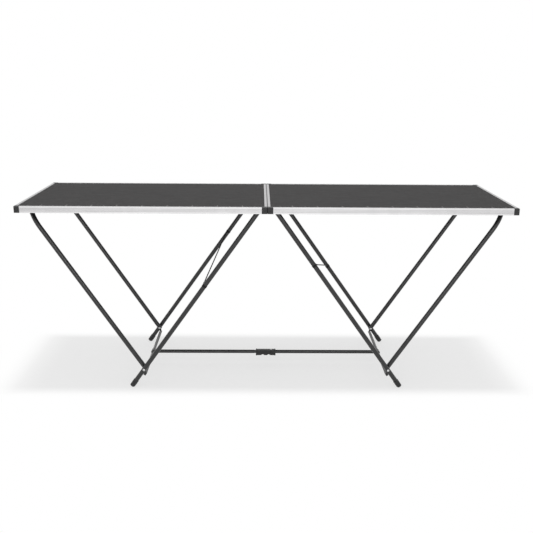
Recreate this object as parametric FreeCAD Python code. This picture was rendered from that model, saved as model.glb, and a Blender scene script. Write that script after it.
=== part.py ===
import FreeCAD, Part
import math
import os

# Folding pasting table: two framed boards on folding tube legs.
# Millimetres, +Z up, origin on the floor under the middle of the table.
# The left half lies on -X, the front edge on -Y.

V = FreeCAD.Vector

# How far a cutting shape reaches past the faces that it cuts
cut_over = 2.0
# How close two sizes have to be to count as the same edge
match = 0.1

# Table top
table_length = 2000.0
table_depth = 600.0
table_height = 780.0
rim_height = 26.0
half_gap = 0.6
board_thickness = 4.0
board_recess = 1.0
board_play = 0.4

# Edge extrusion
rail_wall = 1.6
rail_lip = 11.0
rail_ledge = 9.0
rail_ledge_thickness = 1.2
rail_groove_depth = 0.5
rail_groove_width = 2.0
rail_groove_pitch = 5.0
rail_groove_count = 3

# Moulded corner and centre caps
cap_length = 22.0
cap_round = 3.0

# Centre hinge
hinge_pin_radius = 2.0
hinge_knuckle_radius = 4.0
hinge_fit = 0.05
hinge_knuckle_length = 18.0
hinge_knuckle_gap = 0.4
hinge_leaf_width = 26.0
hinge_leaf_thickness = 1.5
hinge_from_edge = 90.0

# Main legs
leg_radius = 9.5
tube_wall = 1.2
leg_from_edge = 33.0
leg_pivot_x = 31.0
leg_pivot_drop = 16.0
foot_share = 0.2855
leg_top_overrun = 5.0
leg_pin_radius = 3.0
pin_fit = 0.05
pin_head_radius = 5.5
pin_head_height = 2.0

# Leg pivot brackets
cheek_gap = 0.5
cheek_thickness = 1.5
cheek_back = 8.0
cheek_front = 24.0
cheek_drop = 6.5
flange_width = 10.0
flange_thickness = 1.5

# Foot caps
foot_radius = 10.6
foot_length = 34.0
foot_rise = 2.5
foot_round = 2.0

# Strut frames
strut_radius = 9.5
strut_leg_gap = 3.0
strut_pivot_from_end = 30.0
strut_pivot_drop = 15.0
strut_bend = 100.0
strut_end_overrun = 4.0

# Rivets that join leg, strut and crossbar
rivet_share = 0.101
rivet_shank_radius = 3.0
rivet_head_radius = 5.0
rivet_head_height = 2.2

# Saddles that carry the strut frames
saddle_share = 0.4
saddle_width = 26.0
saddle_wall = 1.2
saddle_fit = 0.08
saddle_foot = 14.0

# Crossbars between the legs
crossbar_offset = 16.4
crossbar_shift = 20.0
crossbar_thickness = 10.0
crossbar_width = 13.0
lug_thickness = 2.0
lug_radius = 8.0
boss_radius = 6.0
boss_length = 34.0

# Stretcher
eye_fit = 0.05
eye_wall = 3.2
eye_length = 26.0
eye_neck = 34.0
left_tube_radius = 7.0
right_tube_radius = 8.0
sleeve_length = 90.0
sleeve_height_up = 9.6
sleeve_height_down = 15.0
sleeve_half_width = 11.0
sleeve_round = 3.0
sleeve_bore_play = 0.4
sleeve_stop = 5.0
sleeve_grip_radius = 8.0
sleeve_grip_count = 2
sleeve_grip_depth = 5.0
sleeve_grip_pitch = 27.0
tip_gap = 4.0

# Wire stays across the leg pairs: how far up each leg they are fixed
stay_radius = 1.5
stay_lift = 7.0
left_stay_front_share = 0.584
left_stay_rear_share = 0.727
right_stay_front_share = 0.70
right_stay_rear_share = 0.505
stay_band_length = 9.0
stay_band_wall = 0.8

# Sizes that follow
half_depth = table_depth / 2
leg_y = half_depth - leg_from_edge
strut_y = leg_y - leg_radius - strut_leg_gap - strut_radius
saddle_y = half_depth * saddle_share
foot_x = table_length * foot_share
strut_pivot_x = table_length / 2 - strut_pivot_from_end
rim_bottom = table_height - rim_height
board_top = table_height - board_recess
board_bottom = board_top - board_thickness
leg_pivot_z = table_height - leg_pivot_drop
strut_pivot_z = table_height - strut_pivot_drop
leg_run = foot_x - leg_pivot_x
leg_length = math.hypot(leg_run, leg_pivot_z)
leg_slope = math.atan2(leg_pivot_z, leg_run)
rivet_distance = leg_length * (1 - rivet_share)
rivet_x = leg_pivot_x + rivet_distance * math.cos(leg_slope)
rivet_z = leg_pivot_z - rivet_distance * math.sin(leg_slope)
crossbar_x = rivet_x + crossbar_shift * math.cos(leg_slope) - crossbar_offset * math.sin(leg_slope)
crossbar_z = rivet_z - crossbar_shift * math.sin(leg_slope) - crossbar_offset * math.cos(leg_slope)
strut_slope = math.atan2(strut_pivot_z - rivet_z, strut_pivot_x - rivet_x)
rivet_to_pivot = math.hypot(strut_pivot_x - rivet_x, strut_pivot_z - rivet_z)
lug_y = leg_y - leg_radius - lug_thickness
lug_end_y = leg_y - leg_radius


# Helpers
def cylinder(start, end, radius):
    axis = end - start
    return Part.makeCylinder(radius, axis.Length, start, axis)


def hollow_tube(start, end, radius, wall):
    return cylinder(start, end, radius).cut(cylinder(start, end, radius - wall))


def block(x0, x1, y0, y1, z0, z1):
    low = V(min(x0, x1), min(y0, y1), min(z0, z1))
    return Part.makeBox(abs(x1 - x0), abs(y1 - y0), abs(z1 - z0), low)


def fuse_all(shapes):
    result = shapes[0]
    for shape in shapes[1:]:
        result = result.fuse(shape)
    return result.removeSplitter()


def save(name, shapes):
    group = shapes if isinstance(shapes, list) else [shapes]
    solids = [solid for shape in group for solid in shape.Solids]
    whole = solids[0] if len(solids) == 1 else Part.makeCompound(solids)
    whole.exportStep("parts/" + name + ".step")
    print(name, len(solids), round(whole.Volume, 1), whole.isValid())


def leg_point(side, y, along, lift=0.0):
    # a point on a leg's axis, measured from its pivot; lift is towards the board
    x = leg_pivot_x + along * math.cos(leg_slope) + lift * math.sin(leg_slope)
    z = leg_pivot_z - along * math.sin(leg_slope) + lift * math.cos(leg_slope)
    return V(side * x, y, z)


def strut_point(side, y, along):
    # a point on a strut's axis, measured from its pivot
    x = strut_pivot_x - along * math.cos(strut_slope)
    z = strut_pivot_z - along * math.sin(strut_slope)
    return V(side * x, y, z)


# Edge rails: an outer wall with grooves, a lip over the board and a ledge under it
def rail_section():
    ledge_top = board_bottom - rim_bottom
    points = [(0, 0), (rail_wall, 0), (rail_wall, ledge_top - rail_ledge_thickness),
              (rail_ledge, ledge_top - rail_ledge_thickness), (rail_ledge, ledge_top), (rail_wall, ledge_top),
              (rail_wall, rim_height - board_recess), (rail_lip, rim_height - board_recess),
              (rail_lip, rim_height), (0, rim_height)]
    middle = rim_height / 2
    first = middle + rail_groove_pitch * (rail_groove_count - 1) / 2
    for index in range(rail_groove_count):
        centre = first - rail_groove_pitch * index
        points.append((0, centre + rail_groove_width / 2))
        points.append((rail_groove_depth, centre + rail_groove_width / 2))
        points.append((rail_groove_depth, centre - rail_groove_width / 2))
        points.append((0, centre - rail_groove_width / 2))
    return points


def rail(corner, inward, along):
    # corner is the outer lower start, inward and along are unit directions with lengths
    loop = [corner + inward * u + V(0, 0, 1) * w for u, w in rail_section()]
    face = Part.Face(Part.makePolygon(loop + [loop[0]]))
    return face.extrude(along)


def top_half(side, name):
    inner = half_gap
    outer = table_length / 2
    run = outer - inner
    start = side * inner
    # the long rails are cut square against the short ones, whose ends the caps cover
    long_start = start + side * cap_length
    long_run = V(side * (run - 2 * cap_length), 0, 0)
    short_run = V(0, table_depth - 2 * cap_length, 0)
    short_y = -half_depth + cap_length
    save("front_rail_" + name, rail(V(long_start, -half_depth, rim_bottom), V(0, 1, 0), long_run))
    save("rear_rail_" + name, rail(V(long_start, half_depth, rim_bottom), V(0, -1, 0), long_run))
    save("end_rail_" + name, rail(V(side * outer, short_y, rim_bottom), V(-side, 0, 0), short_run))
    save("centre_rail_" + name, rail(V(start, short_y, rim_bottom), V(side, 0, 0), short_run))
    margin = rail_wall + board_play
    board = block(start + side * margin, side * (outer - margin), -half_depth + margin, half_depth - margin,
                  board_bottom, board_top)
    save("board_" + name, board)
    save("corner_caps_" + name, [corner_cap(side * outer, -side, sign) for sign in (-1, 1)])
    save("centre_caps_" + name, [corner_cap(start, side, sign) for sign in (-1, 1)])


def corner_cap(x, inward, y_sign):
    # a moulded cap round a rail corner, hollow above the ledge where the board enters
    far_x = x + inward * cap_length
    edge_y = y_sign * half_depth
    far_y = y_sign * (half_depth - cap_length)
    body = block(x, far_x, edge_y, far_y, rim_bottom, table_height)
    upright = [edge for edge in body.Edges if abs(edge.Length - rim_height) < match]
    corner = [edge for edge in upright if abs(edge.CenterOfMass.x - x) < match
              and abs(edge.CenterOfMass.y - edge_y) < match]
    body = body.makeFillet(cap_round, corner)
    wall = rail_wall
    in_x = far_x + inward * cut_over
    in_y = far_y - y_sign * cut_over
    pocket = block(x + inward * wall, in_x, edge_y - y_sign * wall, in_y, board_bottom, board_top)
    hollow = block(x + inward * wall, in_x, edge_y - y_sign * wall, in_y,
                   rim_bottom - cut_over, board_bottom - rail_ledge_thickness)
    return body.cut(pocket).cut(hollow)


# Centre hinges: knuckles under the meeting edges, one pin each
def hinge_knuckle(y_start, length, side):
    z = rim_bottom - hinge_knuckle_radius
    barrel = cylinder(V(0, y_start, z), V(0, y_start + length, z), hinge_knuckle_radius)
    leaf = block(0, side * hinge_leaf_width, y_start, y_start + length,
                 rim_bottom - hinge_leaf_thickness, rim_bottom)
    bore = cylinder(V(0, y_start - cut_over, z), V(0, y_start + length + cut_over, z),
                    hinge_pin_radius + hinge_fit)
    return barrel.fuse(leaf).cut(bore).removeSplitter()


def centre_hinges():
    z = rim_bottom - hinge_knuckle_radius
    step = hinge_knuckle_length + hinge_knuckle_gap
    leaves = {-1: [], 1: []}
    pins = []
    for y_sign in (-1, 1):
        middle = y_sign * (half_depth - hinge_from_edge)
        first = middle - 1.5 * step
        for index, side in enumerate((-1, 1, -1)):
            leaves[side].append(hinge_knuckle(first + index * step, hinge_knuckle_length, side))
        last = first + 3 * step - hinge_knuckle_gap
        pins.append(cylinder(V(0, first, z), V(0, last, z), hinge_pin_radius))
    save("hinge_leaves_left", leaves[-1])
    save("hinge_leaves_right", leaves[1])
    save("hinge_pins", pins)


# Main legs with pivot pins, brackets, foot caps and outer rivets
def leg_tube(side, y):
    start = leg_point(side, y, -leg_top_overrun)
    end = leg_point(side, y, leg_length - foot_length / 2)
    tube = hollow_tube(start, end, leg_radius, tube_wall)
    reach = V(0, leg_radius + cut_over, 0)
    pivot = leg_point(side, y, 0)
    rivet = leg_point(side, y, rivet_distance)
    tube = tube.cut(cylinder(pivot - reach, pivot + reach, leg_pin_radius + pin_fit))
    return tube.cut(cylinder(rivet - reach, rivet + reach, rivet_shank_radius))


def foot_cap(side, y):
    # a closed plastic cap with a rounded end, trimmed flat where its lower edge stands on the floor
    upper = leg_point(side, y, leg_length - foot_length)
    end = leg_point(side, y, leg_length - foot_rise)
    seat = leg_point(side, y, leg_length - foot_length / 2)
    body = cylinder(upper, end, foot_radius)
    rim = [edge for edge in body.Edges if (edge.CenterOfMass - end).Length < match]
    body = body.makeFillet(foot_round, rim)
    body = body.cut(cylinder(upper, seat, leg_radius))
    floor = block(end.x - 5 * foot_radius, end.x + 5 * foot_radius, y - 2 * foot_radius, y + 2 * foot_radius,
                  -10 * foot_radius, 0)
    return body.cut(floor)


def pivot_pin(side, y):
    # a clevis pin through both cheeks with a head at each end
    reach = leg_radius + cheek_gap + cheek_thickness
    pivot = leg_point(side, y, 0)
    shank = cylinder(pivot - V(0, reach, 0), pivot + V(0, reach, 0), leg_pin_radius)
    heads = [cylinder(pivot + V(0, sign * reach, 0), pivot + V(0, sign * (reach + pin_head_height), 0),
                      pin_head_radius) for sign in (-1, 1)]
    return fuse_all([shank] + heads)


def pivot_bracket(side, y):
    # two angle cheeks either side of the leg, flanged up against the board
    pivot = leg_point(side, y, 0)
    cheeks = []
    for sign in (-1, 1):
        near = y + sign * (leg_radius + cheek_gap)
        far = near + sign * cheek_thickness
        x0 = pivot.x - side * cheek_back
        x1 = pivot.x + side * cheek_front
        cheek = block(x0, x1, near, far, pivot.z - cheek_drop, board_bottom)
        flange = block(x0, x1, near, far + sign * flange_width, board_bottom - flange_thickness, board_bottom)
        over = sign * cut_over
        hole = cylinder(V(pivot.x, near - over, pivot.z), V(pivot.x, far + over, pivot.z), leg_pin_radius)
        cheeks.append(fuse_all([cheek, flange]).cut(hole))
    return cheeks


def leg_rivet(side, y_sign):
    # shank through leg and lug, with a domed head outside
    axis = leg_point(side, 0, rivet_distance)
    outer_y = leg_y + leg_radius
    shank = cylinder(axis + V(0, y_sign * lug_y, 0), axis + V(0, y_sign * outer_y, 0), rivet_shank_radius)
    head = Part.makeCone(rivet_head_radius, rivet_head_radius / 2, rivet_head_height,
                         axis + V(0, y_sign * outer_y, 0), V(0, y_sign, 0))
    return fuse_all([shank, head])


# Strut frames: two bent tubes and a cross tube that turns in saddles under the board
def strut_tube(side, y_sign):
    # straight up the strut, then a bend across to the cross tube
    low = strut_point(side, y_sign * strut_y, rivet_to_pivot + strut_end_overrun)
    bend_start = strut_point(side, y_sign * strut_y, strut_bend)
    up = (bend_start - low).normalize()
    across = V(0, -y_sign, 0)
    centre = bend_start + across * strut_bend
    middle = centre + (up - across).normalize() * strut_bend
    bend_end = centre + up * strut_bend
    straight = Part.LineSegment(low, bend_start).toShape()
    path = Part.Wire([straight, Part.Arc(bend_start, middle, bend_end).toShape()])
    solids = []
    for radius in (strut_radius, strut_radius - tube_wall):
        ring = Part.Wire(Part.Circle(low, up, radius).toShape())
        solids.append(path.makePipeShell([ring], True, False))
    return solids[0].cut(solids[1])


def cross_tube(side):
    reach = strut_y - strut_bend
    pivot = strut_point(side, 0, 0)
    return hollow_tube(pivot - V(0, reach, 0), pivot + V(0, reach, 0), strut_radius, tube_wall)


def strut_rivet_head(side, y_sign):
    # the closed end of the rivet, on the strut's inner face
    face = strut_point(side, y_sign * (strut_y - strut_radius), rivet_to_pivot)
    return Part.makeCone(rivet_head_radius, rivet_head_radius / 2, rivet_head_height, face, V(0, -y_sign, 0))


def strut_rivet(side, y_sign):
    # shank across the strut tube, short of the leg so that the frames can part
    head = strut_rivet_head(side, y_sign)
    inner = strut_point(side, y_sign * (strut_y - strut_radius), rivet_to_pivot)
    outer = strut_point(side, y_sign * (strut_y + strut_radius), rivet_to_pivot)
    return fuse_all([cylinder(inner, outer, rivet_shank_radius), head])


def riveted_strut(side, y_sign):
    tube = strut_tube(side, y_sign)
    axis = strut_point(side, y_sign * strut_y, rivet_to_pivot)
    reach = V(0, strut_radius + cut_over, 0)
    return tube.cut(cylinder(axis - reach, axis + reach, rivet_shank_radius))


def saddle(side, y):
    # a strap under the cross tube with a foot at each side against the board
    pivot = strut_point(side, y, 0)
    bore = strut_radius + saddle_fit
    outside = bore + saddle_wall
    half = V(0, saddle_width / 2, 0)
    ring = cylinder(pivot - half, pivot + half, outside)
    y0 = y - saddle_width / 2
    y1 = y + saddle_width / 2
    sides = block(pivot.x - outside, pivot.x + outside, y0, y1, pivot.z, board_bottom)
    # the foot points towards the middle of the table
    feet = block(pivot.x + side * outside, pivot.x - side * (outside + saddle_foot), y0, y1,
                 board_bottom - saddle_wall, board_bottom)
    top = block(pivot.x - bore, pivot.x + bore, y0 - cut_over, y1 + cut_over, pivot.z, board_bottom + cut_over)
    above = block(pivot.x - outside - cut_over, pivot.x + outside + cut_over, y0 - cut_over, y1 + cut_over,
                  board_bottom, board_bottom + outside)
    body = fuse_all([ring, sides, feet])
    return body.cut(cylinder(pivot - half * 2, pivot + half * 2, bore)).cut(top).cut(above)


# Crossbars: a flat bar with end lugs on the rivets and a round boss in the middle
def crossbar(side):
    centre = V(side * crossbar_x, 0, crossbar_z)
    along_leg = V(side * math.cos(leg_slope), 0, -math.sin(leg_slope))
    normal = V(side * math.sin(leg_slope), 0, math.cos(leg_slope))
    half_boss = boss_length / 2
    corner = centre - along_leg * (crossbar_width / 2) - normal * (crossbar_thickness / 2)
    pieces = [cylinder(centre - V(0, half_boss, 0), centre + V(0, half_boss, 0), boss_radius)]
    for y_sign in (-1, 1):
        near = corner + V(0, y_sign * half_boss, 0)
        wide = along_leg * crossbar_width
        thick = normal * crossbar_thickness
        loop = [near, near + wide, near + wide + thick, near + thick]
        bar_run = V(0, y_sign * (lug_end_y - half_boss), 0)
        pieces.append(Part.Face(Part.makePolygon(loop + [loop[0]])).extrude(bar_run))
        rivet = leg_point(side, y_sign * lug_y, rivet_distance)
        foot = centre + V(0, y_sign * lug_y, 0)
        outward = V(0, y_sign * lug_thickness, 0)
        pieces.append(cylinder(rivet, rivet + outward, lug_radius))
        base = foot - along_leg * (crossbar_width / 2)
        rim = rivet - along_leg * lug_radius
        loop = [base, base + along_leg * crossbar_width, rim + along_leg * (2 * lug_radius), rim]
        pieces.append(Part.Face(Part.makePolygon(loop + [loop[0]])).extrude(outward))
    bar = fuse_all(pieces)
    for y_sign in (-1, 1):
        rivet = leg_point(side, y_sign * lug_y, rivet_distance)
        reach = V(0, 2 * lug_thickness, 0)
        bar = bar.cut(cylinder(rivet - reach, rivet + reach, rivet_shank_radius))
    return bar


# Stretcher: an eye on each crossbar boss, a tube each side and a coupling sleeve
def stretcher_eye(side, tube_radius):
    centre = V(side * crossbar_x, 0, crossbar_z)
    half = V(0, eye_length / 2, 0)
    bore = boss_radius + eye_fit
    ring = cylinder(centre - half, centre + half, bore + eye_wall)
    neck_end = centre - V(side * eye_neck, 0, 0)
    neck = cylinder(centre, neck_end, tube_radius - tube_wall)
    return fuse_all([ring, neck]).cut(cylinder(centre - half * 2, centre + half * 2, bore))


def stretcher_tube(side, radius, tip_x):
    end = V(tip_x, 0, crossbar_z)
    eye = cylinder(V(side * crossbar_x, -eye_length, crossbar_z), V(side * crossbar_x, eye_length, crossbar_z),
                   boss_radius + eye_fit + eye_wall)
    inner = V(side * crossbar_x, 0, crossbar_z)
    return cylinder(inner, end, radius).cut(cylinder(inner, end, radius - tube_wall)).cut(eye)


def coupling_sleeve():
    # a moulded sleeve fixed on the right tube; the left tube plugs into it
    z = crossbar_z
    half = sleeve_length / 2
    body = block(-half, half, -sleeve_half_width, sleeve_half_width,
                 z - sleeve_height_down, z + sleeve_height_up)
    long_edges = [edge for edge in body.Edges if abs(edge.Length - sleeve_length) < match]
    body = body.makeFillet(sleeve_round, long_edges)
    first = -sleeve_grip_pitch * (sleeve_grip_count - 1) / 2
    for index in range(sleeve_grip_count):
        x = first + index * sleeve_grip_pitch
        centre_z = z - sleeve_height_down - sleeve_grip_radius + sleeve_grip_depth
        reach = V(0, 2 * sleeve_half_width, 0)
        body = body.cut(cylinder(V(x, 0, centre_z) - reach, V(x, 0, centre_z) + reach, sleeve_grip_radius))
    left_bore = left_tube_radius + sleeve_bore_play
    body = body.cut(cylinder(V(-half - cut_over, 0, z), V(sleeve_stop, 0, z), left_bore))
    return body.cut(cylinder(V(sleeve_stop, 0, z), V(half + cut_over, 0, z), right_tube_radius))


# Wire stays across each pair of legs, held by a band round each leg
def stay_end(side, y_sign, share):
    return leg_point(side, y_sign * leg_y, leg_length * (1 - share), stay_lift)


def stay(side, front_share, rear_share):
    wire = cylinder(stay_end(side, -1, front_share), stay_end(side, 1, rear_share), stay_radius)
    for y in (-leg_y, leg_y):
        wire = wire.cut(cylinder(leg_point(side, y, 0), leg_point(side, y, leg_length), leg_radius))
    return wire


def stay_band(side, y, share, wire):
    along = leg_length * (1 - share)
    start = leg_point(side, y, along - stay_band_length / 2)
    end = leg_point(side, y, along + stay_band_length / 2)
    outer = cylinder(start, end, leg_radius + stay_band_wall)
    return outer.cut(cylinder(start, end, leg_radius)).cut(wire)


def leg_set(side, name, front_share, rear_share):
    save("front_leg_" + name, leg_tube(side, -leg_y))
    save("rear_leg_" + name, leg_tube(side, leg_y))
    save("foot_caps_" + name, [foot_cap(side, y) for y in (-leg_y, leg_y)])
    save("leg_pins_" + name, [pivot_pin(side, y) for y in (-leg_y, leg_y)])
    save("leg_brackets_" + name, pivot_bracket(side, -leg_y) + pivot_bracket(side, leg_y))
    save("leg_rivets_" + name, [leg_rivet(side, sign) for sign in (-1, 1)])
    save("crossbar_" + name, crossbar(side))
    wire = stay(side, front_share, rear_share)
    save("stay_wire_" + name, wire)
    bands = [stay_band(side, -leg_y, front_share, wire), stay_band(side, leg_y, rear_share, wire)]
    save("stay_bands_" + name, bands)


def strut_set(side, name):
    save("front_strut_" + name, riveted_strut(side, -1))
    save("rear_strut_" + name, riveted_strut(side, 1))
    save("strut_cross_tube_" + name, cross_tube(side))
    save("strut_rivets_" + name, [strut_rivet(side, sign) for sign in (-1, 1)])
    save("strut_saddles_" + name, [saddle(side, y) for y in (-saddle_y, saddle_y)])


os.makedirs("parts", exist_ok=True)
for side, name in ((-1, "left"), (1, "right")):
    top_half(side, name)
    strut_set(side, name)
leg_set(-1, "left", left_stay_front_share, left_stay_rear_share)
leg_set(1, "right", right_stay_front_share, right_stay_rear_share)
centre_hinges()
save("stretcher_eye_left", stretcher_eye(-1, left_tube_radius))
save("stretcher_eye_right", stretcher_eye(1, right_tube_radius))
save("stretcher_tube_left", stretcher_tube(-1, left_tube_radius, sleeve_stop - tip_gap))
save("stretcher_tube_right", stretcher_tube(1, right_tube_radius, sleeve_stop))
save("coupling_sleeve", coupling_sleeve())
print("leg slope", math.degrees(leg_slope), "strut slope", math.degrees(strut_slope))
print("crossbar", crossbar_x, crossbar_z)
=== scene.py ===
import bpy
import bmesh
import math
from mathutils import Matrix, Vector


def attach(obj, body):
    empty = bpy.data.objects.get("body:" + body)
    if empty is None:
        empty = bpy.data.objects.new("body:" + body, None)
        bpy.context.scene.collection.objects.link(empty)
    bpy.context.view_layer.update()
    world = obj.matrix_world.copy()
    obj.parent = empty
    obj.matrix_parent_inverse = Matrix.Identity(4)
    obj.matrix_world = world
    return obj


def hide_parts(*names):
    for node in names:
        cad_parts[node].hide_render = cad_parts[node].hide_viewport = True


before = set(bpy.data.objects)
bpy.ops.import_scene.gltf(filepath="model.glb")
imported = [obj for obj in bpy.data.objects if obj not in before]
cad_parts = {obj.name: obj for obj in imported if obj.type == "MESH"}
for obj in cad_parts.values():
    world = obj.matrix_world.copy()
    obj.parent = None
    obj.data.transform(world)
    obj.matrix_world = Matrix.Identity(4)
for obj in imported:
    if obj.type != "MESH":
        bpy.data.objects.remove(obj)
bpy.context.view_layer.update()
print("frame loaded:", len(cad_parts), "nodes")


# a socket that can be used in sums; each sum adds a Math node
class Value:
    def __init__(self, finish, socket):
        self.finish = finish
        self.socket = socket

    def calc(self, operation, first, second=0.0):
        return self.finish.node("ShaderNodeMath", {"operation": operation}, {0: first, 1: second})

    def __add__(self, other):
        return self.calc("ADD", self, other)

    __radd__ = __add__

    def __sub__(self, other):
        return self.calc("SUBTRACT", self, other)

    def __rsub__(self, other):
        return self.calc("SUBTRACT", other, self)

    def __mul__(self, other):
        return self.calc("MULTIPLY", self, other)

    __rmul__ = __mul__

    def __mod__(self, other):
        return self.calc("FLOORED_MODULO", self, other)

    def __rmod__(self, other):
        return self.calc("FLOORED_MODULO", other, self)

    def __lt__(self, other):
        return self.calc("LESS_THAN", self, other)

    def __gt__(self, other):
        return self.calc("GREATER_THAN", self, other)

    def __or__(self, other):
        return self.calc("MAXIMUM", self, other)

    __ror__ = __or__

    def __abs__(self):
        return self.calc("ABSOLUTE", self)


# a node tree with one way to add any node: its type, its settings, its sockets
class Finish:
    def __init__(self, tree):
        self.tree = tree

    def node(self, kind, settings=None, sockets=None, out=0):
        made = self.tree.nodes.new(kind)
        for key, value in (settings or {}).items():
            if key == "stops":
                for element, (place, shade) in zip(made.color_ramp.elements, value):
                    element.position = place
                    element.color = (shade, shade, shade, 1)
            else:
                setattr(made, key, value)
        for key, value in (sockets or {}).items():
            if isinstance(value, Value):
                self.tree.links.new(value.socket, made.inputs[key])
            else:
                made.inputs[key].default_value = value
        return Value(self, made.outputs[out])

    def place(self):
        return self.node("ShaderNodeTexCoord", out="Object")

    def stretched(self, scale):
        return self.node("ShaderNodeMapping", None, {"Vector": self.place(), "Scale": scale})

    def part(self, vector, axis):
        return self.node("ShaderNodeSeparateXYZ", None, {"Vector": vector}, out=axis)

    def noise(self, vector, scale, detail, roughness=0.55):
        return self.node("ShaderNodeTexNoise", None,
                         {"Vector": vector, "Scale": scale, "Detail": detail, "Roughness": roughness})

    def ramp(self, value, span, shades=(0.0, 1.0)):
        return self.node("ShaderNodeValToRGB", {"stops": list(zip(span, shades))}, {"Fac": value})

    def blend(self, factor, first, second):
        return self.node("ShaderNodeMix", {"data_type": "RGBA"}, {0: factor, 6: first, 7: second}, out=2)

    def bump(self, height, strength, distance):
        return self.node("ShaderNodeBump", None, {"Height": height, "Strength": strength, "Distance": distance})


def newFinish(name, **fixed):
    material = bpy.data.materials.new(name)
    material.use_nodes = True
    shader = material.node_tree.nodes["Principled BSDF"]
    for key, value in fixed.items():
        shader.inputs[key.replace("_", " ")].default_value = value
    return material, Finish(material.node_tree), shader


# every finish ends in a colour, a roughness within a range and a bump
def feed(finish, shader, look, colour, rough, height):
    sockets = {"Base Color": colour, "Roughness": finish.ramp(rough, look["roughSpan"], look["rough"]),
               "Normal": finish.bump(height, *look["bump"])}
    for key, value in sockets.items():
        finish.tree.links.new(value.socket, shader.inputs[key])


# a finish's dark and light tone, chosen by a value
def toned(finish, look, value):
    return finish.blend(finish.ramp(value, look["toneSpan"]), look["dark"], look["light"])


def mixed(first, second, share):
    return first * (1 - share) + second * share


def grey(red, green, blue):
    return (red, green, blue, 1.0)


# in the looks below a noise is given by its scale, detail and perhaps roughness, a bump by its strength and depth

# board: dark smooth laminate with a faint measuring scale along the front edge
boardLook = {"dark": grey(0.0475, 0.0465, 0.0465), "light": grey(0.0565, 0.0552, 0.0552), "specular": 0.03,
             "mottle": (38.0, 5.0), "grain": (1150.0, 2.0), "grainShare": 0.3,
             "scuff": (2.4, 4.0), "scuffStretch": (5.0, 95.0, 5.0), "scuffShare": 0.3,
             "toneSpan": (0.34, 0.68), "roughSpan": (0.36, 0.66), "rough": (0.70, 0.85), "bump": (0.10, 0.0006),
             "print": grey(0.30, 0.295, 0.29), "printShare": 0.8, "frontEdge": -0.289, "topFace": 0.7785,
             "tickStep": 0.05, "tickHalf": 0.0011, "shortTick": 0.020, "longTick": 0.036}


def makeBoardFinish():
    look = boardLook
    material, finish, shader = newFinish("dark_board_laminate", Specular_IOR_Level=look["specular"])
    place = finish.place()
    mottle, grain = (finish.noise(place, *look[key]) for key in ("mottle", "grain"))
    scuff = finish.noise(finish.stretched(look["scuffStretch"]), *look["scuff"])
    plain = toned(finish, look, mixed(mottle, grain, look["grainShare"]))
    x, y, z = (finish.part(place, axis) for axis in range(3))
    step, front = look["tickStep"], look["frontEdge"]
    near = abs((x + step / 2) % step - step / 2) < look["tickHalf"]
    nearLong = abs((x + step) % (2 * step) - step) < look["tickHalf"]
    ticks = near * (y < front + look["shortTick"]) | nearLong * (y < front + look["longTick"])
    colour = finish.blend(ticks * (z > look["topFace"]) * look["printShare"], plain, look["print"])
    feed(finish, shader, look, colour, scuff, mixed(grain, scuff, look["scuffShare"]))
    return material


# edging: satin aluminium drawn along its length, with painted shade in the grooves and along the gap at the centre of
# the top, and the end and centre rails darkened all over as painted shade
edgeLook = {"dark": grey(0.62, 0.615, 0.62), "light": grey(0.80, 0.795, 0.80),
            "lines": (1.0, 4.0, 0.7), "cloud": (22.0, 3.0), "cloudShare": 0.25,
            "toneSpan": (0.30, 0.70), "roughSpan": (0.30, 0.72), "rough": (0.46, 0.62), "bump": (0.14, 0.0004),
            # the first colour below is painted shade for the grooves and for the end and centre rails
            "groove": grey(0.42, 0.415, 0.42), "grooveMiddle": 0.767, "groovePitch": 0.005, "grooveHalf": 0.22,
            "grooveReach": 1.3, "grooveShare": 0.7,
            # the next colour is painted shade along the gap at the centre of the top
            "seam": grey(0.20, 0.20, 0.20), "seamHalf": 0.0026, "seamShare": 0.75,
            # the end and centre rails take this share of painted shade all over
            "long": {"stretch": (6.0, 1900.0, 1900.0), "dull": 0.0},
            "short": {"stretch": (1900.0, 6.0, 1900.0), "dull": 0.5}}


def makeEdgeFinish(run):
    look = edgeLook
    material, finish, shader = newFinish("satin_aluminium_" + run, Metallic=1.0)
    place = finish.place()
    lines = finish.noise(finish.stretched(look[run]["stretch"]), *look["lines"])
    cloud = finish.noise(place, *look["cloud"])
    colour = toned(finish, look, mixed(lines, cloud, look["cloudShare"]))
    x, z = finish.part(place, 0), finish.part(place, 2)
    pitch, offset = look["groovePitch"], z - look["grooveMiddle"]
    inGroove = abs((offset + pitch / 2) % pitch - pitch / 2) < pitch * look["grooveHalf"]
    grooveShade = inGroove * (abs(offset) < pitch * look["grooveReach"])
    # painted shade: the floors of the grooves, and on the end and centre rails the whole face, are darkened towards
    # the shade colour
    colour = finish.blend(grooveShade * look["grooveShare"] + (1 - grooveShade) * look[run]["dull"], colour, look["groove"])
    # painted shade along the gap at the centre of the top
    colour = finish.blend((abs(x) < look["seamHalf"]) * look["seamShare"], colour, look["seam"])
    feed(finish, shader, look, colour, lines, lines)
    return material


# moulded caps, feet and sleeve: black plastic with a fine eroded grain
plasticLook = {"dark": grey(0.014, 0.014, 0.0145), "light": grey(0.026, 0.026, 0.027), "specular": 0.42,
               "grain": (1500.0, 2.0), "flow": (70.0, 4.0), "flowShare": 0.5,
               "toneSpan": (0.35, 0.70), "roughSpan": (0.35, 0.68), "rough": (0.42, 0.60), "bump": (0.22, 0.0005)}


def makePlasticFinish():
    look = plasticLook
    material, finish, shader = newFinish("black_moulded_plastic", Specular_IOR_Level=look["specular"])
    place = finish.place()
    grain, flow = (finish.noise(place, *look[key]) for key in ("grain", "flow"))
    feed(finish, shader, look, toned(finish, look, flow), mixed(grain, flow, look["flowShare"]), grain)
    return material


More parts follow.
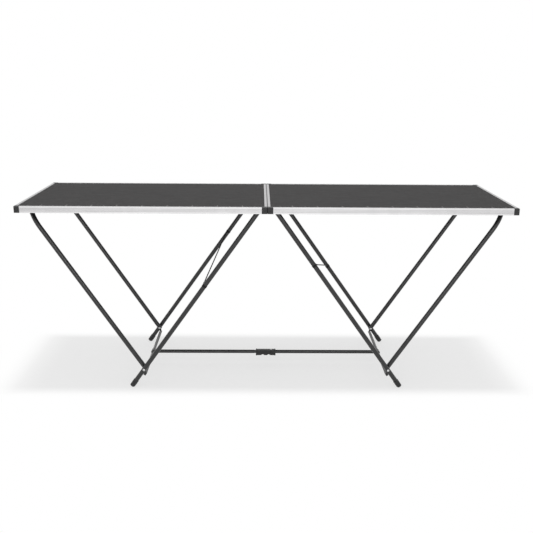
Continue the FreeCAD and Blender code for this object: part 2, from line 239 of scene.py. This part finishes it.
# tubes: near-black powder coat with a slight orange peel
tubeLook = {"dark": grey(0.013, 0.013, 0.0135), "light": grey(0.024, 0.024, 0.0245), "specular": 0.5,
            "peel": (620.0, 2.0), "cloud": (26.0, 4.0), "peelShare": 0.4,
            "toneSpan": (0.35, 0.70), "roughSpan": (0.34, 0.68), "rough": (0.20, 0.31), "bump": (0.09, 0.0006)}


def makeTubeFinish():
    look = tubeLook
    material, finish, shader = newFinish("black_powder_coat", Specular_IOR_Level=look["specular"])
    place = finish.place()
    peel, cloud = (finish.noise(place, *look[key]) for key in ("peel", "cloud"))
    feed(finish, shader, look, toned(finish, look, cloud), mixed(cloud, peel, look["peelShare"]), peel)
    return material


# fittings: zinc plate with soft crystals
zincLook = {"dark": grey(0.58, 0.58, 0.59), "light": grey(0.80, 0.80, 0.79),
            "crystalScale": 420.0, "cloud": (120.0, 4.0), "cloudShare": 0.55,
            "toneSpan": (0.25, 0.75), "roughSpan": (0.32, 0.70), "rough": (0.26, 0.44), "bump": (0.10, 0.0003)}


def makeZincFinish():
    look = zincLook
    material, finish, shader = newFinish("zinc_plated_steel", Metallic=1.0)
    place = finish.place()
    crystal = finish.node("ShaderNodeTexVoronoi", None, {"Vector": place, "Scale": look["crystalScale"]}, out="Color")
    spangle = finish.node("ShaderNodeRGBToBW", None, {"Color": crystal})
    cloud = finish.noise(place, *look["cloud"])
    feed(finish, shader, look, toned(finish, look, mixed(spangle, cloud, look["cloudShare"])), cloud, cloud)
    return material


# stays: dark coated wire
wireLook = {"dark": grey(0.012, 0.0118, 0.0118), "light": grey(0.030, 0.029, 0.029), "specular": 0.05,
            "drawn": (3.0, 3.0), "drawnStretch": (300.0, 25.0, 300.0),
            "toneSpan": (0.32, 0.70), "roughSpan": (0.30, 0.70), "rough": (0.58, 0.74), "bump": (0.12, 0.0003)}


def makeWireFinish():
    look = wireLook
    material, finish, shader = newFinish("dark_coated_wire", Specular_IOR_Level=look["specular"])
    drawn = finish.noise(finish.stretched(look["drawnStretch"]), *look["drawn"])
    feed(finish, shader, look, toned(finish, look, drawn), drawn, drawn)
    return material


boardFinish = makeBoardFinish()
edgeLongFinish = makeEdgeFinish("long")
edgeShortFinish = makeEdgeFinish("short")
plasticFinish = makePlasticFinish()
tubeFinish = makeTubeFinish()
zincFinish = makeZincFinish()
wireFinish = makeWireFinish()

# nodes by name without their side; all others are tubes
nodeFinish = {"board": boardFinish, "front_rail": edgeLongFinish, "rear_rail": edgeLongFinish,
              "end_rail": edgeShortFinish, "centre_rail": edgeShortFinish, "corner_caps": plasticFinish,
              "centre_caps": plasticFinish, "foot_caps": plasticFinish, "coupling_sleeve": plasticFinish,
              "strut_saddles": zincFinish, "leg_pins": zincFinish, "leg_brackets": zincFinish,
              "hinge_leaves": zincFinish, "hinge_pins": zincFinish, "leg_rivets": zincFinish,
              "strut_rivets": zincFinish, "stay_wire": wireFinish, "stay_bands": wireFinish}

for nodeName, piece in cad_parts.items():
    kind = nodeName.replace("_left", "").replace("_right", "")
    finishHere = nodeFinish.get(kind, tubeFinish)
    if not piece.material_slots:
        piece.data.materials.append(finishHere)
    for slot in piece.material_slots:
        slot.material = finishHere
print("finishes on every node")


# camera at the photograph's viewing angle
cameraLook = {"place": (-0.0356, -3.1722, 1.3336), "yaw": 0.66, "pitch": -15.458, "roll": 0.421,
              "lens": 49.951, "sensor": 36.0}


def makeCamera():
    yaw, pitch, roll = (math.radians(cameraLook[key]) for key in ("yaw", "pitch", "roll"))
    ahead = Vector((math.sin(yaw) * math.cos(pitch), math.cos(yaw) * math.cos(pitch), math.sin(pitch)))
    level = Vector((math.cos(yaw), -math.sin(yaw), 0))
    above = level.cross(ahead)
    right = level * math.cos(roll) + above * math.sin(roll)
    up = above * math.cos(roll) - level * math.sin(roll)
    camera = bpy.data.objects.new("camera", bpy.data.cameras.new("camera"))
    camera.data.lens = cameraLook["lens"]
    camera.data.sensor_width = cameraLook["sensor"]
    turn = Matrix((right, up, -ahead)).transposed().to_4x4()
    camera.matrix_world = Matrix.Translation(cameraLook["place"]) @ turn
    bpy.context.collection.objects.link(camera)
    bpy.context.scene.camera = camera


# pale floor that fades to white, a high lamp overhead, two weak ones in front and a plain white room
stageLook = {"floorSize": 30.0, "floorTone": grey(0.93, 0.93, 0.93), "floorRough": 0.9,
             "shadowReach": (0.90, 2.80, 1.0), "fadeFrom": 0.84, "fadeTo": 1.12, "lift": 0.64,
             "white": grey(1, 1, 1), "seenLight": 1.0, "roomLight": 0.60,
             "overhead": {"size": (1.0, 0.8), "place": (0.0, -0.10, 8.0), "aim": (0.0, -0.10, 0.0), "power": 320.0},
             "frontLeft": {"size": (0.9, 0.5), "place": (-0.8, -3.4, 1.1), "aim": (0.3, 0.0, 0.5), "power": 9.0},
             "frontRight": {"size": (0.9, 0.5), "place": (0.8, -3.4, 1.1), "aim": (-0.3, 0.0, 0.5), "power": 9.0}}


# rays that see the floor or the room itself, straight or in a reflection
def seenRay(finish):
    rays = [finish.node("ShaderNodeLightPath", out=key)
            for key in ("Is Camera Ray", "Is Glossy Ray", "Is Transmission Ray")]
    return rays[0] | rays[1] | rays[2]


def makeFloor():
    look = stageLook
    half, lift = look["floorSize"] / 2, look["lift"]
    mesh = bpy.data.meshes.new("floor")
    mesh.from_pydata([(-half, -half, 0), (half, -half, 0), (half, half, 0), (-half, half, 0)], [], [(0, 1, 2, 3)])
    floor = bpy.data.objects.new("floor", mesh)
    bpy.context.collection.objects.link(floor)
    material, finish, shader = newFinish("pale_floor", Roughness=look["floorRough"], Specular_IOR_Level=0.0,
                                         Base_Color=look["floorTone"])
    reach = finish.stretched(look["shadowReach"])
    across, back = finish.part(reach, 0), finish.part(reach, 1)
    fade = finish.node("ShaderNodeMapRange", {"interpolation_type": "SMOOTHSTEP"},
                       {"Value": abs(across) | abs(back), "From Min": look["fadeFrom"], "From Max": look["fadeTo"]})
    cover = (lift + (1 - lift) * fade) * seenRay(finish)
    plain = Value(finish, shader.outputs["BSDF"])
    white = finish.node("ShaderNodeEmission", None, {"Color": look["white"], "Strength": look["seenLight"]})
    surface = finish.node("ShaderNodeMixShader", None, {0: cover, 1: plain, 2: white})
    finish.tree.links.new(surface.socket, finish.tree.nodes["Material Output"].inputs["Surface"])
    mesh.materials.append(material)


def makeRoom():
    look = stageLook
    world = bpy.data.worlds.new("white_room")
    bpy.context.scene.world = world
    world.use_nodes = True
    room = Finish(world.node_tree)
    light = room.node("ShaderNodeBackground", None, {"Color": look["white"], "Strength": look["roomLight"]})
    seen = room.node("ShaderNodeBackground", None, {"Color": look["white"], "Strength": look["seenLight"]})
    both = room.node("ShaderNodeMixShader", None, {0: seenRay(room), 1: light, 2: seen})
    room.tree.links.new(both.socket, room.tree.nodes["World Output"].inputs["Surface"])

    for name in ("overhead", "frontLeft", "frontRight"):
        spot = look[name]
        lamp = bpy.data.lights.new(name, "AREA")
        lamp.shape = "RECTANGLE"
        lamp.size, lamp.size_y = spot["size"]
        lamp.energy = spot["power"]
        holder = bpy.data.objects.new(name, lamp)
        holder.location = spot["place"]
        ahead = Vector(spot["aim"]) - Vector(spot["place"])
        holder.rotation_euler = ahead.to_track_quat("-Z", "Y").to_euler()
        holder.visible_glossy = name != "overhead"  # metal shows the white room, not the lamp
        bpy.context.collection.objects.link(holder)
    bpy.context.scene.view_settings.view_transform = "Standard"


makeCamera()
makeFloor()
makeRoom()
print("camera, floor and light set")

# places on the frame, in metres and degrees, shared by the small pieces below
table = {"half": 1.0, "depth": 0.3, "top": 0.78, "rimBottom": 0.754,
         "legPivot": (0.031, 0.764), "legSlope": 54.74709, "legY": 0.267, "legLength": 0.935573,
         "strutPivot": (0.970, 0.765), "strutSlope": 56.600248, "strutY": 0.245, "strutLength": 0.827903,
         "crossbar": (0.514611, 0.051366)}
sides = ((-1, "left"), (1, "right"))


def legPoint(side, y, along):
    slope = math.radians(table["legSlope"])
    x, z = table["legPivot"]
    return Vector((side * (x + along * math.cos(slope)), y, z - along * math.sin(slope)))


def legAxis(side):
    slope = math.radians(table["legSlope"])
    return Vector((side * math.cos(slope), 0, -math.sin(slope)))


def strutPoint(side, y, along):
    slope = math.radians(table["strutSlope"])
    x, z = table["strutPivot"]
    return Vector((side * (x - along * math.cos(slope)), y, z - along * math.sin(slope)))


def strutAxis(side):
    slope = math.radians(table["strutSlope"])
    return Vector((-side * math.cos(slope), 0, -math.sin(slope)))


def turned(centre, axis):
    return Matrix.Translation(centre) @ Vector((0, 0, 1)).rotation_difference(Vector(axis)).to_matrix().to_4x4()


# a profile given in shares of its radius and height
def scaled(profile, radius, height):
    return [(radius * across, height * up) for across, up in profile]


# a turned form: (radius, along) pairs about an axis; returns its last ring
def lathe(bm, centre, axis, profile, segments, start=0.0, closed=False):
    place = turned(centre, axis)
    rings = []
    for radius, along in profile:
        count = segments if radius else 1  # a point on the axis
        angles = [start + 2 * math.pi * index / segments for index in range(count)]
        rings.append([bm.verts.new(place @ Vector((radius * math.cos(angle), radius * math.sin(angle), along)))
                      for angle in angles])
    pairs = list(zip(rings, rings[1:])) + ([(rings[-1], rings[0])] if closed else [])
    for lower, upper in pairs:
        for index in range(segments):
            after = (index + 1) % segments
            loop = [lower[index % len(lower)], lower[after % len(lower)],
                    upper[after % len(upper)], upper[index % len(upper)]]
            loop = list(dict.fromkeys(loop))
            if len(loop) > 2:
                bm.faces.new(loop)
    return rings[-1]


# a bar with rounded edges
def softBlock(bm, low, high, edge):
    made = bmesh.ops.create_cube(bm, size=1.0)["verts"]
    low, high = Vector(low), Vector(high)
    for vert in made:
        vert.co = Vector([low[i] + (vert.co[i] + 0.5) * (high[i] - low[i]) for i in range(3)])
    edges = list({e for vert in made for e in vert.link_edges})
    bmesh.ops.bevel(bm, geom=edges, offset=edge, segments=2, affect="EDGES", profile=0.5)


# a round bar along a closed loop of points
def sweepLoop(bm, points, radii, around):
    rings = []
    side = None
    for index, point in enumerate(points):
        ahead = (points[(index + 1) % len(points)] - points[index - 1]).normalized()
        if side is None:
            side = ahead.orthogonal().normalized()
        side = (side - ahead * side.dot(ahead)).normalized()
        other = ahead.cross(side)
        angles = [2 * math.pi * step / around for step in range(around)]
        rings.append([bm.verts.new(point + (side * math.cos(angle) + other * math.sin(angle)) * radii[index])
                      for angle in angles])
    first, last = rings[0], rings[-1]
    shift = min(range(around), key=lambda step: (first[step].co - last[0].co).length)
    rings.append(first[shift:] + first[:shift])  # the first ring again, turned to meet the last
    for lower, upper in zip(rings, rings[1:]):
        for step in range(around):
            after = (step + 1) % around
            bm.faces.new((lower[step], lower[after], upper[after], upper[step]))


def addPiece(name, bm, finish, body, sharp=32.0):
    bmesh.ops.recalc_face_normals(bm, faces=bm.faces)
    mesh = bpy.data.meshes.new(name)
    bm.to_mesh(mesh)
    bm.free()
    mesh.polygons.foreach_set("use_smooth", [True] * len(mesh.polygons))
    mesh.set_sharp_from_angle(angle=math.radians(sharp))
    mesh.materials.append(finish)
    piece = bpy.data.objects.new(name, mesh)
    bpy.context.collection.objects.link(piece)
    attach(piece, body)
    return piece


# cross-recess screw: a low dome on a face, with a plus sunk in its top
screwLook = {"dome": ((0, -0.2), (1, -0.2), (1, 0.25), (0.93, 0.62), (0.78, 0.88), (0.58, 1)),
             "turn": 15, "recess": 0.62, "arm": 0.46, "armHalf": 0.125}


def screw(bm, centre, axis, radius, height):
    look = screwLook
    place = turned(centre, axis)
    arm, half = radius * look["arm"], radius * look["armHalf"]
    plus = []
    for quarter in range(4):
        turn = place @ Matrix.Rotation(quarter * math.pi / 2, 4, "Z")
        plus += [turn @ Vector((x, y, height)) for x, y in ((arm, half), (half, half), (half, arm))]
    count = len(plus)
    # the rim has two points for each corner of the plus
    rim = lathe(bm, centre, axis, scaled(look["dome"], radius, height), 2 * count, math.radians(look["turn"]))
    sink = Vector(axis).normalized() * (height * look["recess"])
    upper = [bm.verts.new(point) for point in plus]
    lower = [bm.verts.new(point - sink) for point in plus]
    for index in range(count):
        after = (index + 1) % count
        bm.faces.new((upper[index], rim[2 * index], rim[2 * index + 1], rim[2 * after], upper[after]))
        bm.faces.new((upper[index], upper[after], lower[after], lower[index]))
    bm.faces.new(lower)


# caps: a screw in each outer face and a moulded bead where the cap laps the edging
capLook = {"length": 0.022, "gap": 0.0006, "inset": 0.0006, "screw": 0.0034, "screwHeight": 0.0016,
           "bead": 0.0030, "proud": 0.0009, "over": 0.0003, "edge": 0.0004}


# a bead's reach through a face: a little behind it and a little in front
def beadSpan(face, facing):
    low, high = sorted((face, face + facing * capLook["proud"]))
    return low - capLook["over"], high + capLook["over"]


def dressCaps():
    look = capLook
    screws, beads = bmesh.new(), bmesh.new()
    half, depth, middle = table["half"], table["depth"], (table["top"] + table["rimBottom"]) / 2
    low, high = table["rimBottom"] + look["inset"], table["top"] - look["inset"]
    reach, bead, gap = look["length"], look["bead"], look["gap"]
    for side, _ in sides:
        for facing in (-1, 1):
            face = facing * depth
            for x in (side * (half - reach / 2), side * (gap + reach / 2)):
                screw(screws, (x, face, middle), (0, facing, 0), look["screw"], look["screwHeight"])
            screw(screws, (side * half, facing * (depth - reach / 2), middle), (side, 0, 0),
                  look["screw"], look["screwHeight"])
            near, far = beadSpan(face, facing)
            for x in (side * (half - reach + bead / 2), side * (gap + reach - bead / 2)):
                softBlock(beads, (x - bead / 2, near, low), (x + bead / 2, far, high), look["edge"])
            near, far = beadSpan(side * half, side)
            y = facing * (depth - reach + bead / 2)
            softBlock(beads, (near, y - bead / 2, low), (far, y + bead / 2, high), look["edge"])
    addPiece("cap_screws", screws, tubeFinish, "top")
    addPiece("cap_beads", beads, plasticFinish, "top")


# a dark strip in the gap between the halves, put there as painted shade of the gap
gapShadeLook = {"half": 0.00045, "low": 0.7548, "high": 0.7786, "reach": 0.2992, "edge": 0.0001}


def dressCentre():
    # this dark strip stands in for the shade inside the gap
    gapShadeStrip = bmesh.new()
    softBlock(gapShadeStrip, (-gapShadeLook["half"], -gapShadeLook["reach"], gapShadeLook["low"]),
              (gapShadeLook["half"], gapShadeLook["reach"], gapShadeLook["high"]), gapShadeLook["edge"])
    addPiece("centre_seal", gapShadeStrip, plasticFinish, "top")


# underside fastenings: screws in the saddle feet and hinge leaves, rivets in the bracket flanges
underLook = {"screw": 0.0036, "screwHeight": 0.0018, "rivet": 0.0030, "rivetHeight": 0.0014,
             "rivetDome": ((0, -0.2), (1, -0.2), (1, 0.3), (0.85, 0.7), (0.55, 0.94), (0, 1)), "rivetSegments": 20,
             "saddleY": 0.120, "saddleStep": 0.007, "saddleFoot": 0.01778, "saddleZ": 0.7738,
             "hingeY": 0.210, "hingeStep": 0.0184, "hingeShift": 0.0002, "hingeX": 0.0165, "hingeZ": 0.7525,
             "hingeSteps": {"left": (-1, 1), "right": (0,)},
             "flangeZ": 0.7735, "flangeY": 0.0165, "flangeX": (-0.004, 0.016)}


def dressUnderside():
    look = underLook
    screws, rivets = bmesh.new(), bmesh.new()
    down = (0, 0, -1)
    dome = scaled(look["rivetDome"], look["rivet"], look["rivetHeight"])
    for side, name in sides:
        for facing in (-1, 1):
            x = side * (table["strutPivot"][0] - look["saddleFoot"])
            for offset in (-look["saddleStep"], look["saddleStep"]):
                screw(screws, (x, facing * look["saddleY"] + offset, look["saddleZ"]), down,
                      look["screw"], look["screwHeight"])
            for step in look["hingeSteps"][name]:
                y = facing * look["hingeY"] + step * look["hingeStep"] - look["hingeShift"]
                screw(screws, (side * look["hingeX"], y, look["hingeZ"]), down, look["screw"], look["screwHeight"])
            for across in (-1, 1):
                y = facing * table["legY"] + across * look["flangeY"]
                for offset in look["flangeX"]:
                    x = side * (table["legPivot"][0] + offset)
                    lathe(rivets, (x, y, look["flangeZ"]), down, dome, look["rivetSegments"])
    addPiece("underside_screws", screws, zincFinish, "top")
    addPiece("bracket_rivets", rivets, zincFinish, "top")


# feet: a lip and grip rings round each cap
footLook = {"radius": 0.0106, "length": 0.034, "sink": 0.0004, "lip": 0.0006, "lipWidth": 0.0030,
            "ring": 0.0005, "ringWidth": 0.0018, "rings": (0.0075, 0.0115, 0.0155),
            "bevel": 0.0003, "bevelRun": 0.0004, "segments": 36}


def dressFeet():
    look = footLook
    bevel, run = look["bevel"], look["bevelRun"]
    inside = look["radius"] - look["sink"]
    bands = [(0.0, look["lipWidth"], look["lip"])]
    bands += [(start, look["ringWidth"], look["ring"]) for start in look["rings"]]
    for side, name in sides:
        rings = bmesh.new()
        for y in (-table["legY"], table["legY"]):
            top = table["legLength"] - look["length"]
            for start, width, proud in bands:
                outside = look["radius"] + proud
                lathe(rings, legPoint(side, y, top + start), legAxis(side),
                      [(inside, 0), (outside - bevel, 0), (outside, run), (outside, width - run),
                       (outside - bevel, width), (inside, width)], look["segments"], closed=True)
        addPiece("foot_rings_" + name, rings, plasticFinish, name + "_legs")


# struts: a domed plug in each open lower end
plugLook = {"flange": 0.0094, "bore": 0.0081, "depth": 0.010, "chamfer": 0.001, "chamferRun": 0.002, "lip": 0.0012,
            "domeHeight": 0.0026, "dome": ((0.9, 0.55), (0.6, 0.9), (0, 1)), "segments": 32}


def dressStruts():
    look = plugLook
    bore, depth, flange, lip = look["bore"], look["depth"], look["flange"], look["lip"]
    profile = [(0, -depth), (bore - look["chamfer"], -depth), (bore, -depth + look["chamferRun"]), (bore, 0),
               (flange, 0), (flange, lip)]
    profile += [(radius, lip + along) for radius, along in scaled(look["dome"], flange, look["domeHeight"])]
    for side, name in sides:
        plugs = bmesh.new()
        for y in (-table["strutY"], table["strutY"]):
            lathe(plugs, strutPoint(side, y, table["strutLength"]), strutAxis(side), profile, look["segments"])
        addPiece("strut_plugs_" + name, plugs, plasticFinish, name + "_struts")


# weld beads where bar meets boss and where tube meets eye
weldLook = {"bead": 0.0011, "ripple": 0.16, "waves": 26, "points": 104, "around": 8, "sharp": 60.0,
            "boss": 0.0062, "bossY": 0.0171, "tube": 0.0080, "eyeReach": 0.0100}


def weldRing(bm, centre, axis, radius):
    look = weldLook
    place = turned(centre, axis)
    points, radii = [], []
    for index in range(look["points"]):
        angle = 2 * math.pi * index / look["points"]
        points.append(place @ Vector((radius * math.cos(angle), radius * math.sin(angle), 0)))
        radii.append(look["bead"] * (1 + look["ripple"] * math.sin(look["waves"] * angle)))
    sweepLoop(bm, points, radii, look["around"])


def dressWelds():
    look = weldLook
    x, z = table["crossbar"]
    for side, name in sides:
        bosses, eyes = bmesh.new(), bmesh.new()
        for facing in (-1, 1):
            weldRing(bosses, (side * x, facing * look["bossY"], z), (0, 1, 0), look["boss"])
        weldRing(eyes, (side * (x - look["eyeReach"]), 0, z), (1, 0, 0), look["tube"])
        addPiece("boss_welds_" + name, bosses, tubeFinish, name + "_legs", look["sharp"])
        addPiece("eye_welds_" + name, eyes, tubeFinish, name + "_stretcher", look["sharp"])


# sleeve: a raised collar at each end, a line of ridges along each side and a clamp screw
sleeveLook = {"half": 0.045, "width": 0.011, "up": 0.0096, "down": 0.015, "round": 0.003, "roundSteps": 6,
              "collar": 0.005, "proud": 0.0010, "inset": 0.0004, "sink": 0.0004, "soft": 0.0004,
              "ridges": 7, "ridgePitch": 0.008, "ridgeWidth": 0.0024, "ridgeHalf": 0.0055, "ridgeProud": 0.0008,
              "ridgeEdge": 0.00035, "screw": 0.0032, "screwHeight": 0.0016, "screwPlace": 0.55}


def sleeveLoop(x, grow):
    look = sleeveLook
    z = table["crossbar"][1]
    wide, corner = look["width"] + grow, look["round"] + grow
    low, high = z - look["down"] - grow, z + look["up"] + grow
    steps = look["roundSteps"]
    loop = []
    for centreY, centreZ, start in ((wide - corner, high - corner, 0), (corner - wide, high - corner, 90),
                                    (corner - wide, low + corner, 180), (wide - corner, low + corner, 270)):
        for step in range(steps + 1):
            angle = math.radians(start + 90 * step / steps)
            loop.append(Vector((x, centreY + corner * math.cos(angle), centreZ + corner * math.sin(angle))))
    return loop


def dressSleeve():
    look = sleeveLook
    z = table["crossbar"][1]
    grow, soft, sink = look["proud"], look["soft"], look["sink"]
    body = bmesh.new()
    for start in (-look["half"] + look["inset"], look["half"] - look["collar"] - look["inset"]):
        end = start + look["collar"]
        loops = [sleeveLoop(start, -sink), sleeveLoop(start, grow - soft), sleeveLoop(start + soft, grow),
                 sleeveLoop(end - soft, grow), sleeveLoop(end, grow - soft), sleeveLoop(end, -sink)]
        rings = [[body.verts.new(point) for point in loop] for loop in loops]
        for lower, upper in zip(rings, rings[1:] + rings[:1]):
            for index in range(len(lower)):
                after = (index + 1) % len(lower)
                body.faces.new((lower[index], lower[after], upper[after], upper[index]))
    first = -look["ridgePitch"] * (look["ridges"] - 1) / 2
    wide, tall = look["ridgeWidth"] / 2, look["ridgeHalf"]
    for facing in (-1, 1):
        face = facing * look["width"]
        near, far = sorted((face - facing * sink, face + facing * look["ridgeProud"]))
        for index in range(look["ridges"]):
            x = first + index * look["ridgePitch"]
            softBlock(body, (x - wide, near, z - tall), (x + wide, far, z + tall), look["ridgeEdge"])
    addPiece("sleeve_ridges", body, plasticFinish, "right_stretcher")
    fixing = bmesh.new()
    screw(fixing, (look["half"] * look["screwPlace"], 0, z + look["up"]), (0, 0, 1),
          look["screw"], look["screwHeight"])
    addPiece("sleeve_screw", fixing, zincFinish, "right_stretcher")


# left tube: as thick as the right one, drawn down where it plugs into the sleeve
plugEndLook = {"radius": 0.0080, "plug": 0.0070, "bore": 0.0058, "boreDepth": 0.020, "tip": 0.001, "tipEdge": 0.0008,
               "shoulder": -0.0465, "shoulderEdge": 0.0003, "slope": 0.006, "runOut": 1.4,
               "eye": 0.00925, "sink": 0.0003, "segments": 32}


def dressTube():
    look = plugEndLook
    x, z = table["crossbar"]
    tip, bore, plug, thick = look["tip"], look["bore"], look["plug"], look["radius"]
    edge, shoulder, slope, eye = look["tipEdge"], look["shoulder"], look["slope"], look["eye"]
    count = look["segments"]
    tube = bmesh.new()
    end = lathe(tube, (0, 0, z), (1, 0, 0),
                [(0, tip - look["boreDepth"]), (bore, tip - look["boreDepth"]), (bore, tip), (plug - edge, tip),
                 (plug, tip - edge), (plug, shoulder), (thick - look["shoulderEdge"], shoulder - slope),
                 (thick, shoulder - slope * look["runOut"]), (thick, eye - x)], count)
    for vert in end:  # this end follows the round of the eye
        vert.co.x = math.sqrt(eye ** 2 - (vert.co.z - z) ** 2) - x - look["sink"]
    for index in range(count // 2):
        loop = (end[index], end[index + 1], end[count - 1 - index], end[-index])
        tube.faces.new(list(dict.fromkeys(loop)))
    piece = addPiece("plug_tube_left", tube, tubeFinish, "left_stretcher")
    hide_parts("stretcher_tube_left")


# stays: a coated wire with a crimped collar at each end
stayLook = {"lift": 0.0070, "radius": 0.0023, "crimp": 0.0032, "crimpLength": 0.014, "taper": 0.002,
            "edge": 0.0006, "start": 0.0055, "segments": 20,
            "shares": {"left": (0.584, 0.727), "right": (0.70, 0.505)}}


def dressStays():
    look = stayLook
    slope = math.radians(table["legSlope"])
    crimp, edge = look["crimp"], look["edge"]
    for side, name in sides:
        lift = Vector((side * math.sin(slope), 0, math.cos(slope))) * look["lift"]
        ends = [legPoint(side, y, table["legLength"] * (1 - share)) + lift
                for y, share in zip((-table["legY"], table["legY"]), look["shares"][name])]
        run = ends[1] - ends[0]
        ahead = run.normalized()
        start = look["start"] / ahead.y
        collarEnd = start + look["crimpLength"]
        half = [(0, start), (crimp - edge, start), (crimp, start + edge), (crimp, collarEnd),
                (look["radius"], collarEnd + look["taper"])]
        profile = half + [(radius, run.length - along) for radius, along in reversed(half)]
        rod = bmesh.new()
        lathe(rod, ends[0], ahead, profile, look["segments"])
        piece = addPiece("stay_rod_" + name, rod, wireFinish, name + "_legs")
        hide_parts("stay_wire_" + name)


dressCaps()
dressCentre()
dressUnderside()
dressFeet()
dressStruts()
dressWelds()
dressSleeve()
dressTube()
dressStays()
print("small pieces made")
